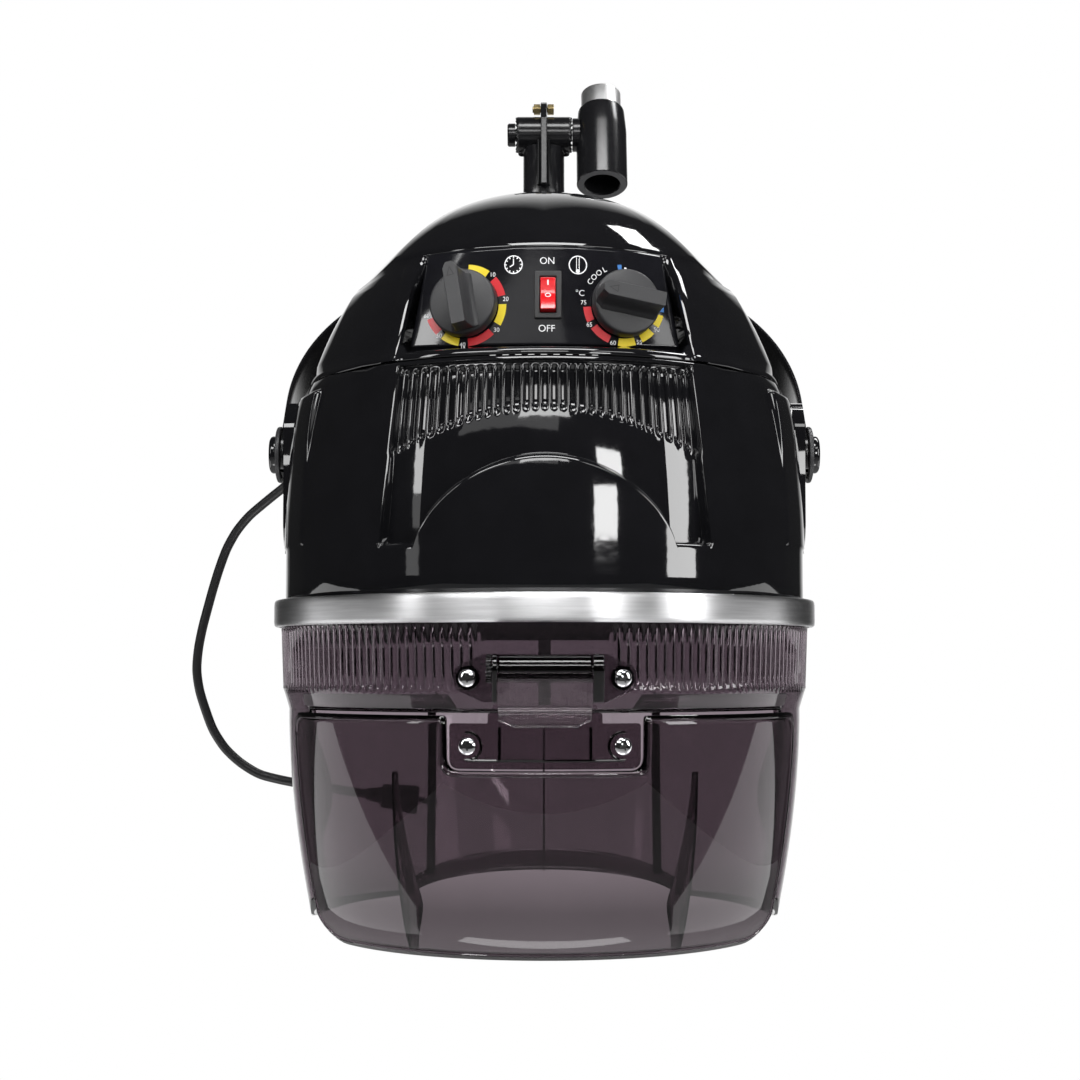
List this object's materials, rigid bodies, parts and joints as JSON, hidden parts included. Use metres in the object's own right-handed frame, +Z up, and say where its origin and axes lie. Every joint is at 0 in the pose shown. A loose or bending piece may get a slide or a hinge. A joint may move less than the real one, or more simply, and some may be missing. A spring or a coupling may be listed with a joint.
{
  "type": "wall-mounted hood dryer",
  "caption": "Hanging salon hood dryer: black domed housing with dials and rocker, aluminium ring, smoky visor with hinged flap, tilting yoke and a socket for a wall arm.",
  "frame": {"origin": "centre of the wall-arm socket's lower mouth", "axes": "+Z up, the hood's front and controls face -Y, +X to the right seen from the front"},
  "size_m": [0.4594, 0.412, 0.632],
  "materials": {
    "gloss_black": "moulded, piano-black gloss",
    "panel_black": "moulded, dark gloss with printed dials",
    "charcoal": "fine-grained matte charcoal",
    "switch_grey": "satin dark grey",
    "red_lens": "translucent red lens",
    "aluminium": "satin",
    "smoke": "smoky transparent, polished",
    "steel_black": "semi-gloss black paint",
    "chrome": "bright plated",
    "zinc_yellow": "yellow zinc plated",
    "cord_black": "matte flexible sheath",
    "inner_metal": "plain steel",
    "inner_board": "heat-resisting board",
    "inner_plastic": "moulded, unfinished"
  },
  "bodies": {
    "socket": {"socket_sleeve": "steel_black", "socket_bush": "chrome", "knuckle_bolt": "steel_black"},
    "post": {"knuckle_tube": "steel_black", "post_tube": "steel_black", "gusset_plate": "steel_black", "gusset_bolt": "zinc_yellow", "gusset_nut": "zinc_yellow", "yoke_band": "steel_black"},
    "hood": {"pivot_pad_left": "gloss_black", "pivot_pad_right": "gloss_black", "pivot_stud_left": "inner_metal", "pivot_stud_right": "inner_metal", "pivot_disc_left": "charcoal", "pivot_disc_right": "charcoal", "pivot_cap_left": "gloss_black", "pivot_cap_right": "gloss_black", "lower_housing": "gloss_black", "upper_cover": "gloss_black", "control_panel": "panel_black", "timer_body": "inner_plastic", "thermostat_body": "inner_plastic", "switch_bezel": "switch_grey", "trim_ring": "aluminium", "visor": "smoke", "hinge_bracket": "smoke", "hinge_pin": "chrome", "detent_ring": "smoke", "bracket_screw_left": "chrome", "bracket_screw_right": "chrome", "diffuser_bowl": "steel_black", "motor_bracket": "inner_metal", "fan_motor": "inner_metal", "heater_frame": "inner_board", "heating_coil": "inner_metal", "thermal_cutout": "inner_plastic", "terminal_block": "inner_plastic", "cord_gland": "cord_black", "mains_cord": "cord_black", "mains_plug": "cord_black"},
    "flap": {"flap": "smoke", "flap_hinge_plate": "smoke", "flap_screw_left": "chrome", "flap_screw_right": "chrome"},
    "timer_knob": {"timer_knob": "charcoal", "timer_shaft": "inner_metal"},
    "temperature_knob": {"temperature_knob": "charcoal", "temperature_shaft": "inner_metal"},
    "rocker": {"rocker": "red_lens"},
    "fan": {"fan_wheel": "inner_plastic", "motor_shaft": "inner_metal"}
  },
  "joints": [
    {"name": "knuckle_tilt", "type": "hinge", "parent": "socket", "child": "post", "pos_m": [-0.045, 0.01573, 0.04323], "axis": [1, 0, 0], "range_deg": [-25, 25]},
    {"name": "hood_tilt", "type": "hinge", "parent": "post", "child": "hood", "pos_m": [-0.045, -0.13983, -0.22477], "axis": [-1, 0, 0], "range_deg": [-25, 45]},
    {"name": "flap_hinge", "type": "hinge", "parent": "hood", "child": "flap", "pos_m": [-0.045, -0.3422, -0.37227], "axis": [-1, 0, 0], "range_deg": [0, 88]},
    {"name": "timer_turn", "type": "hinge", "parent": "hood", "child": "timer_knob", "pos_m": [-0.095, -0.26505, -0.14327], "axis": [0.2417, 0.9637, -0.1134], "range_deg": [0, 268]},
    {"name": "temperature_turn", "type": "hinge", "parent": "hood", "child": "temperature_knob", "pos_m": [0.005, -0.26505, -0.14327], "axis": [-0.2417, 0.9637, -0.1134], "range_deg": [-260, 20]},
    {"name": "rocker_tilt", "type": "hinge", "parent": "hood", "child": "rocker", "pos_m": [-0.043, -0.27116, -0.13777], "axis": [1, 0, 0], "range_deg": [0, 18]},
    {"name": "fan_spin", "type": "hinge", "parent": "hood", "child": "fan", "pos_m": [-0.045, -0.13983, -0.29277], "axis": [0, 0, 1], "continuous": true}
  ]
}
